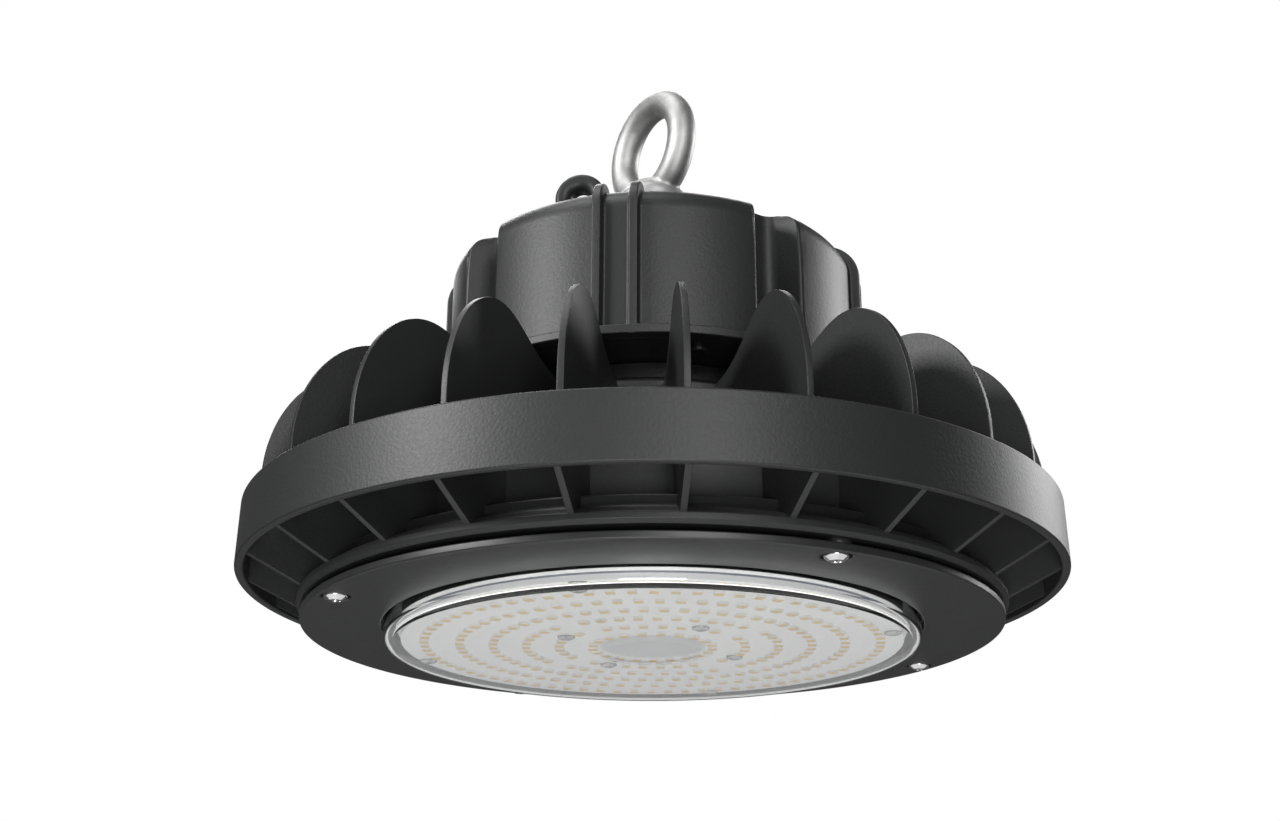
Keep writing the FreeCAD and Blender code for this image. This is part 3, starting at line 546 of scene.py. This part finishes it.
lens_clear = mottled("clear polycarbonate", scale=20.0, dark=(0.97, 0.98, 0.98), light=(0.985, 0.99, 0.99),
                     Transmission_Weight=1.0, Roughness=0.0, IOR=1.5, Specular_IOR_Level=0.0)
lens_radius, lens_wall = 85.4, 1.8
lens_bore = lens_radius - lens_wall
lens_edge_round = 2.9
flange_radius, flange_top = 92.4, 10.3
dimple_depth, dimple_floor_radius, dimple_radius, dimple_round = 0.05, 15.5, 18.9, 60.0
lens_mesh = lathe([
    (0, dimple_depth), (dimple_floor_radius, dimple_depth, dimple_round), (dimple_radius, 0, dimple_round),
    (lens_radius, 0, lens_edge_round), (lens_radius, bezel_back, 0.2), (flange_radius, bezel_back),
    (flange_radius, flange_top), (lens_bore, flange_top), (lens_bore, lens_wall, lens_edge_round - lens_wall),
    (0, lens_wall),
], 240, 10)
lens = new_piece("lens_moulding", [lens_mesh], lens_clear, "lens")


# Bezel
# A pressed aluminium ring under a smoother satin coat, which clamps the lens with four screws in
# counterbored holes.

bezel_satin, skin, nodes, spot = new_finish("satin coat", Specular_IOR_Level=0.5)
varied(skin, nodes, noise(nodes, spot, scale=300.0), dark=(0.012, 0.0125, 0.0125),
       light=(0.016, 0.0165, 0.0165), smoothest=0.36, spread=0.06)
nodes.feed(skin.inputs["Normal"], grain(nodes, noise(nodes, spot, scale=1400.0), strength=0.12, depth=0.0001))
bezel_bore, bezel_radius, bezel_face = 86.1, 111.3, 5.8
bezel_edge = 0.6
bezel_ring = lathe([
    (bezel_bore, bezel_face, bezel_edge), (bezel_radius, bezel_face, bezel_edge),
    (bezel_radius, bezel_back, bezel_edge), (bezel_bore, bezel_back, 0.2),
], 288)
mouth_radius, mouth_edge, mouth_below = 4.9, 5.75, 5.0
counterbore_radius, counterbore_edge, counterbore_floor = 4.4, 6.1, 7.0
screw_hole_radius, hole_end = 2.25, 9.0
counterbore = lathe([
    (0, mouth_below), (mouth_radius, mouth_below), (mouth_radius, mouth_edge),
    (counterbore_radius, counterbore_edge, 0.3), (counterbore_radius, counterbore_floor),
    (screw_hole_radius, counterbore_floor), (screw_hole_radius, hole_end), (0, hole_end),
], 48)
counterbores = around(moved(counterbore, back=-bezel_screw_place), bezel_satin, count=4,
                      turn=bezel_screw_turn)
bezel = new_piece("bezel_ring", [cut_by(bezel_ring, [counterbores])], bezel_satin, "bezel")


# Bezel screws
# Polished stainless pan-head screws with a cross recess, sunk in the bezel's counterbores. Their shanks
# are cut short behind the bezel, where they don't show.

bright_steel, skin, nodes, spot = new_finish("polished stainless", Metallic=1.0)
varied(skin, nodes, noise(nodes, spot, scale=700.0), dark=(0.62, 0.62, 0.62), light=(0.70, 0.70, 0.70),
       smoothest=0.10, spread=0.10)
bezel_dome, bezel_dome_radius, bezel_dome_edge = 4.55, 2.0, 4.75
bezel_head_radius, bezel_head_edge = 3.6, 5.9
bezel_shank_radius, bezel_shank_end = 2.0, 9.0
bezel_head = lathe([
    (0, bezel_dome), (bezel_dome_radius, bezel_dome_edge, 1.0), (bezel_head_radius, bezel_head_edge, 0.7),
    (bezel_head_radius, counterbore_floor), (bezel_shank_radius, counterbore_floor),
    (bezel_shank_radius, bezel_shank_end), (0, bezel_shank_end),
], 48)
bezel_head = cut_by(bezel_head, cross_bars(width=0.9, reach=3.8, floor=5.7, mouth=4.0))
bezel_heads = around(moved(bezel_head, back=-bezel_screw_place), bright_steel, count=4,
                     turn=bezel_screw_turn)
bezel_screws = new_piece("bezel_screw_heads", [bezel_heads], bright_steel, "bezel_screws")


# Driver pieces inside the housing
# A fibreglass board with its main components, closed in by the base plate and sealed by a gasket.
# Hardly any of it shows on the finished light, so each piece keeps its solid and only gets a finish.

circuit_green = mottled("green solder mask", scale=120.0, dark=(0.010, 0.075, 0.028),
                        light=(0.018, 0.10, 0.04), Roughness=0.4)
ferrite = mottled("ferrite and tape", scale=250.0, dark=(0.018, 0.018, 0.019), light=(0.05, 0.045, 0.03),
                  Roughness=0.6)
can_black = mottled("sleeved can", scale=40.0, dark=(0.008, 0.009, 0.016), light=(0.014, 0.015, 0.026),
                    Roughness=0.3)
copper = mottled("enamelled copper", scale=600.0, dark=(0.42, 0.16, 0.06), light=(0.56, 0.24, 0.10),
                 Metallic=0.8, Roughness=0.35)
terminal_grey = mottled("terminal plastic", scale=300.0, dark=(0.16, 0.17, 0.18), light=(0.20, 0.21, 0.22),
                        Roughness=0.55)
# Painted shade: the housing screws are made near-black so that they sit dark in the shaded gap under the
# housing
screw_painted_shade = mottled("near-black painted shade", scale=400.0, dark=(0.020, 0.020, 0.021), light=(0.035, 0.034, 0.033),
                      Metallic=0.7, Roughness=0.4)
lead_black = mottled("lead sheath", scale=300.0, dark=(0.010, 0.010, 0.011), light=(0.016, 0.016, 0.017),
                     Roughness=0.6)
dress("driver_base", powder_coat)
dress("housing_gasket", seal_black)
dress("housing_screws", screw_painted_shade)
dress("pillar_screws", nickel)
dress("driver_board", circuit_green)
dress("driver_board_screws", nickel)
dress("transformer", ferrite)
dress("capacitors", can_black)
dress("line_choke", copper)
dress("terminal_block", terminal_grey)
dress("output_lead", lead_black)
dress("lead_bush", seal_black)
dress("lead_grommet", seal_black)


# Driver housing
# A cast aluminium cover in the same powder coat, with a lip round its lower edge, four screw notches,
# two ribs on each panel that run over the rounded shoulder, a hanger boss and a safety ring.

panel_radius, housing_bore, lip_radius, lip_top = 68.4, 67.6, 71.8, 83.6
ledge_brim, ledge = 88.9, 89.3
shoulder_start, shoulder_height, shoulder_round = 116.0, 131.8, 8.5
roof_slope = math.tan(math.radians(6))
boss_foot_radius, boss_foot, boss_foot_round = 25.0, 136.36, 6.0
boss_top_radius, boss_top, bolt_hole_radius = 13.5, 157.06, 5.4
boss_blend_radius, boss_blend = 36.0, 135.2
half_panel = 45.0
rib_place = 5.55
rib_zone, rib_reach, slide_end = 7.0, 8.0, 33.0
plain_columns = [8.5 + 2.35 * step for step in range(12)]
notch_floor_columns = [43.8, 44.4]


def smooth_low(a, b, blend):
    """The lower of two numbers, eased where they are within a blend of each other."""
    overlap = max(blend - abs(a - b), 0) / blend
    return min(a, b) - overlap * overlap * blend / 4


def between(table, place):
    """Reads a table of (place, value) rows, in any order, straight between its rows."""
    rows = sorted(table)
    if place <= rows[0][0]:
        return rows[0][1]
    for (a, low), (b, high) in zip(rows, rows[1:]):
        if place <= b:
            return low + (high - low) * (place - a) / (b - a)
    return rows[-1][1]


# Half of a notch's plan, from its middle out past its rounded mouth, as (angle from its middle, radius)
notch_floor, notch_corner, notch_mouth, notch_past = 57.0, 5.2, (8.9, 67.82), (14.22, 66.9)
notch_plan = [(math.degrees(math.atan2(p.x, p.y)), p.length) for p in rounded(
    [(0, notch_floor), (notch_corner, notch_floor, 4.8), (*notch_mouth, 1.4), notch_past], False, 7)]


def notch_limit(angle):
    """How far from the axis the metal reaches in a notch, by the angle from its middle in degrees."""
    return between(notch_plan, abs(angle)) if abs(angle) < notch_plan[-2][0] else math.inf


# Half of a rib's section: distance from its middle line, and height over the panel
rib_section = ((0.0, 3.2), (0.85, 3.2), (1.08, 3.16), (1.24, 3.05), (1.34, 2.88), (1.40, 2.6), (1.50, 0.95),
               (1.58, 0.5), (1.76, 0.22), (2.05, 0.06), (2.4, 0.0))
# How a rib fades at its end on the top, by the radius there
rib_end = ((60.0, 1.0), (59.0, 0.95), (58.3, 0.84), (57.8, 0.68), (57.5, 0.45), (57.35, 0.15), (57.0, 0.0))


def housing_columns():
    """The columns of one panel, in degrees from its middle: ribs, plain wall, notch's side and floor."""
    rib_places = [-place for place, _ in reversed(rib_section)] + [place for place, _ in rib_section[1:]]
    half = [0.0, 1.6]
    half += [math.degrees(math.asin((rib_place + place) / panel_radius)) for place in rib_places]
    half += plain_columns
    half += [half_panel - angle for angle, _ in reversed(notch_plan[1:-1])]
    half += notch_floor_columns
    return [-a for a in half[:0:-1]] + half


def housing_rows():
    """The rows of the housing's skin, as (radius, height, notch, rib's share).

    The notch is none, inside for the lower edge of the wall behind it, brim or full."""
    rows = [(housing_bore, driver_seat, "inside", 0)]
    lip = [(housing_bore, driver_seat), (lip_radius, driver_seat, 0.5), (lip_radius, lip_top, 0.5),
           (panel_radius, lip_top, 0.35), (panel_radius, 88.0)]
    rows += [(p.x, p.y, "none", 1) for p in rounded(lip, False)[1:]]
    rows += [(panel_radius, ledge_brim, "none", 1), (panel_radius, ledge, "brim", 1)]
    rows += [(panel_radius, level, "full", 1) for level in (ledge, 98.0, 108.0, shoulder_start)]
    shoulder = [(panel_radius, shoulder_start), (panel_radius, shoulder_height, shoulder_round),
                (boss_foot_radius, boss_foot)]
    for p in rounded(shoulder, False, 14)[1:-1]:
        rows.append((p.x, p.y, "full", between(rib_end, p.x)))
    start, least_row = rows[-1][0], 0.2
    for radius in (59.5, 59.0, 58.6, 58.3, 58.0, 57.8, 57.6, 57.5, 57.42, 57.35, 57.2, 57.0, 56.7, 56.3,
                   55.9, 55.4, 54.6, 52.0, 48.0, 42.0, boss_blend_radius):
        if radius < start - least_row:
            level = shoulder_height + (panel_radius - radius) * roof_slope
            rows.append((radius, level, "full", between(rib_end, radius)))
    boss = [(boss_blend_radius, boss_blend), (boss_foot_radius, boss_foot, boss_foot_round),
            (boss_top_radius, boss_top, 1.0), (bolt_hole_radius, boss_top)]
    rows += [(p.x, p.y, "full", 0) for p in rounded(boss, False, 7)[1:]]
    return rows


def notched_radius(radius, level, notch, limit):
    """A radius after the notch's cut, eased on the shoulder and sharp on the wall."""
    inner_wall, inner_ease, shoulder_ease, brim_width = 0.8, 1.0, 1.6, 0.4
    if notch == "none":
        return radius
    if notch == "inside":
        return smooth_low(radius, limit - inner_wall, inner_ease)
    cut = smooth_low(radius, limit, shoulder_ease) if level > shoulder_start else min(radius, limit)
    return cut if notch == "full" else max(cut, radius - brim_width)


def column_turn(column, radius):
    """Where a column stands at a radius: beside a rib it runs parallel to it, near a notch it is radial."""
    least_radius = 50.0
    near = max(-rib_zone, min(rib_zone, column))
    offset = panel_radius * math.sin(math.radians(near))
    slide = math.degrees(math.asin(offset / max(radius, least_radius))) - near
    return column + slide * max(0.0, min(1.0, (slide_end - abs(column)) / (slide_end - rib_zone)))


def housing_skin():
    """The housing's outside as a grid of rows, from its lower edge to the bolt's hole, and columns."""
    rows = housing_rows()
    columns = housing_columns()
    shape = bmesh.new()
    grid = []
    for number, (radius, level, notch, ribbed) in enumerate(rows):
        before, after = rows[max(number - 1, 0)], rows[min(number + 1, len(rows) - 1)]
        outward = Vector((after[1] - before[1], before[0] - after[0])).normalized()
        ring = []
        for panel in range(4):
            for column in columns:
                turn = column_turn(column, radius)
                across = abs(panel_radius * math.sin(math.radians(column)))
                rib = between(rib_section, abs(across - rib_place)) if abs(column) < rib_reach else 0.0
                r, z = radius, level
                if level > shoulder_start:
                    r += outward.x * rib * ribbed
                    z += outward.y * rib * ribbed
                elif ribbed:
                    r = max(r, panel_radius + rib)
                r = notched_radius(r, level, notch, notch_limit(half_panel - abs(turn)))
                a = math.radians(turn + 90.0 * panel)
                ring.append(shape.verts.new((r * math.sin(a) / 1000, -r * math.cos(a) / 1000, z / 1000)))
        grid.append(ring)
    for lower, upper in zip(grid, grid[1:]):
        for i in range(len(lower)):
            k = (i + 1) % len(lower)
            shape.faces.new((lower[i], lower[k], upper[k], upper[i]))
    bmesh.ops.recalc_face_normals(shape, faces=shape.faces)
    return as_mesh(shape)


ring_across, ring_back, ring_up = -15.4, -47.2, 138.52
ring_bore, ring_radius, ring_half_width, ring_bore_round, ring_round = 3.0, 8.2, 4.0, 3.0, 1.6
safety_ring = lathe([
    (ring_bore, -ring_half_width, ring_bore_round), (ring_radius, -ring_half_width, ring_round),
    (ring_radius, ring_half_width, ring_round), (ring_bore, ring_half_width, ring_bore_round),
], 64, 8)
safety_ring.transform(Matrix.Rotation(math.radians(90), 4, "X"))
foot_size, foot_middle, foot_round = (11.4, 7.6, 6.0), 132.6, 1.2
ring_foot = block(foot_size, (ring_across, ring_back, foot_middle), foot_round, 3, lambda a, b: True)
gland_place = 40.0
gland_pad_radius, gland_pad_foot, gland_pad_top = 15.0, 128.0, 137.08
gland_hole_radius, gland_hole_floor = 9.0, 136.0
gland_pad = lathe([
    (0, gland_pad_foot), (gland_pad_radius, gland_pad_foot), (gland_pad_radius, gland_pad_top, 0.8),
    (gland_hole_radius, gland_pad_top), (0, gland_hole_floor),
], 64)
housing = new_piece("driver_cover", [
    housing_skin(),
    moved(safety_ring, ring_across, ring_back, ring_up),
    ring_foot,
    moved(gland_pad, back=gland_place),
], powder_coat, "driver_housing")


# Cable gland
# A black polyamide gland at the back of the housing's top: a hexagonal body, a clamping nut round a
# rubber seal, and a locknut inside.

gland_black, skin, nodes, spot = new_finish("black polyamide", Specular_IOR_Level=0.45)
mould = noise(nodes, spot, scale=800.0)
varied(skin, nodes, mould, dark=(0.014, 0.014, 0.015), light=(0.020, 0.020, 0.021),
       smoothest=0.40, spread=0.12)
nodes.feed(skin.inputs["Normal"], grain(nodes, mould, strength=0.15, depth=0.0001))
for node in ("gland_body", "gland_nut", "gland_locknut"):
    dress(node, gland_black)
dress("gland_seal", seal_black)


# Eye bolt
# A forged stainless eye bolt, bead-blasted: a round ring flows into a conical collar, which sits on a
# washer on the hanger boss and is drawn down by a nut inside.

blasted, skin, nodes, spot = new_finish("bead-blasted stainless", Metallic=1.0)
beads = noise(nodes, spot, scale=1600.0)
varied(skin, nodes, noise(nodes, spot, scale=260.0, detail=5.0, roughness=0.65),
       dark=(0.30, 0.30, 0.30), light=(0.58, 0.575, 0.57), smoothest=0.46, spread=0.16)
nodes.feed(skin.inputs["Normal"], grain(nodes, beads, strength=0.45, depth=0.00016))

eye_middle, eye_ring_radius, eye_bar_radius = 181.36, 17.5, 5.0
eye_turn = math.radians(45)
bar_steps, ring_steps = 40, 96
eye_shape = bmesh.new()
across_ring = Vector((-math.sin(eye_turn), math.cos(eye_turn), 0))
through_ring = Vector((math.cos(eye_turn), math.sin(eye_turn), 0))
loops = []
for step in range(ring_steps):
    angle = math.tau * step / ring_steps
    out = across_ring * math.sin(angle) + Vector((0, 0, math.cos(angle)))
    loop = []
    for k in range(bar_steps):
        angle = math.tau * k / bar_steps
        bar = out * math.cos(angle) + through_ring * math.sin(angle)
        place = Vector((0, 0, eye_middle)) + out * eye_ring_radius + bar * eye_bar_radius
        loop.append(eye_shape.verts.new(place / 1000))
    loops.append(loop)
for loop, following in zip(loops, loops[1:] + loops[:1]):
    for k in range(bar_steps):
        n = (k + 1) % bar_steps
        eye_shape.faces.new((loop[k], loop[n], following[n], following[k]))
shank_end, washer_top = 156.9, 158.66
collar_radius, collar_edge = 12.5, 162.0
cone_radius, cone_edge, cone_top = 7.6, 167.4, 167.6
collar = lathe([
    (0, shank_end), (eye_bar_radius, shank_end), (eye_bar_radius, washer_top),
    (collar_radius, washer_top, 0.8), (collar_radius, collar_edge, 1.4), (cone_radius, cone_edge, 2.8),
    (0, cone_top),
], 96)
eye_shape.from_mesh(collar)
bmesh.ops.recalc_face_normals(eye_shape, faces=eye_shape.faces)
eye_blank = new_object("eye blank", as_mesh(eye_shape))
skin_over = eye_blank.modifiers.new("One skin", "REMESH")
skin_over.mode = "VOXEL"
skin_over.voxel_size = 0.00045
flow_together = eye_blank.modifiers.new("Flowing joint", "SMOOTH")
flow_together.factor = 0.5
flow_together.iterations = 12
applied(eye_blank)
eye_bolt = new_piece("eye_forging", [eye_blank.data], blasted, "eye_bolt", sharp=80.0)
bpy.data.objects.remove(eye_blank)
dress("eye_washer", blasted)
dress("eye_nut", blasted)


# Studio
# A plain pale floor well below the hanging light and a white backdrop. Soft lamps stand at the front
# left, in front, behind on both sides, above and low under the lens. The camera stands where the
# photograph was taken from.

def ray_kinds(tree):
    """Whether a ray comes straight from the camera, off a glossy face, or through the lens."""
    path = tree.nodes.new("ShaderNodeLightPath")
    return [Finish(tree, path.outputs[kind])
            for kind in ("Is Camera Ray", "Is Glossy Ray", "Is Transmission Ray")]


floor_half, floor_level = 0.8, -0.62
floor_shape = bmesh.new()
bmesh.ops.create_grid(floor_shape, x_segments=1, y_segments=1, size=floor_half)
bmesh.ops.translate(floor_shape, vec=(0, 0, floor_level), verts=floor_shape.verts)
floor = new_object("studio_floor", as_mesh(floor_shape))
floor_paint, skin, nodes, spot = new_finish("pale floor", Base_Color=(0.82, 0.82, 0.82, 1), Roughness=0.9,
                                            Emission_Strength=1.0)
seen, _, passed = ray_kinds(floor_paint.node_tree)
nodes.feed(skin.inputs["Emission Color"], seen * 0.9 + passed * 0.84)
floor.data.materials.append(floor_paint)

world = bpy.data.worlds.new("studio")
bpy.context.scene.world = world
world.use_nodes = True
seen, mirrored, passed = ray_kinds(world.node_tree)
backdrop = world.node_tree.nodes["Background"]
backdrop.inputs["Color"].default_value = (1, 1, 1, 1)
seen.feed(backdrop.inputs["Strength"], seen * 0.92 + passed * 0.84 + mirrored * 0.02 + 0.08)

camera_turn = 9.4


def softbox(name, turn, rise, distance, width, height, power, aim=0.06):
    """A soft lamp, turned from the camera's side towards its right and raised above level, in degrees."""
    lamp = bpy.data.lights.new(name, "AREA")
    lamp.shape = "RECTANGLE"
    lamp.size = width
    lamp.size_y = height
    lamp.energy = power
    a = math.radians(turn + camera_turn)
    e = math.radians(rise)
    away = Vector((math.sin(a) * math.cos(e), -math.cos(a) * math.cos(e), math.sin(e))) * distance
    made = new_object(name, lamp)
    made.location = away + Vector((0, 0, aim))
    made.rotation_euler = away.to_track_quat("Z", "Y").to_euler()


softbox("key", turn=-58, rise=21, distance=1.2, width=0.34, height=0.3, power=12)
softbox("front", turn=14, rise=16, distance=1.3, width=0.36, height=0.5, power=6.6)
softbox("rim", turn=122, rise=22, distance=1.2, width=0.35, height=0.5, power=6)
softbox("fill below", turn=0, rise=-22, distance=0.9, width=0.4, height=0.4, power=4, aim=0.0)
softbox("top", turn=-60, rise=70, distance=1.1, width=0.6, height=0.6, power=5)
softbox("back", turn=190, rise=42, distance=1.3, width=0.9, height=0.7, power=16)

camera_data = bpy.data.cameras.new("photograph")
camera_data.sensor_width = 36.0
camera_data.lens = 46.7
camera_data.shift_x = -0.0098
camera_data.clip_start = 0.01
camera = new_object("photograph", camera_data)
camera.location = (0.0856, -0.5170, -0.1133)
camera.rotation_euler = (math.radians(110.5), 0, math.radians(camera_turn))
bpy.context.scene.camera = camera
bpy.context.scene.view_settings.view_transform = "Standard"

bpy.context.view_layer.update()
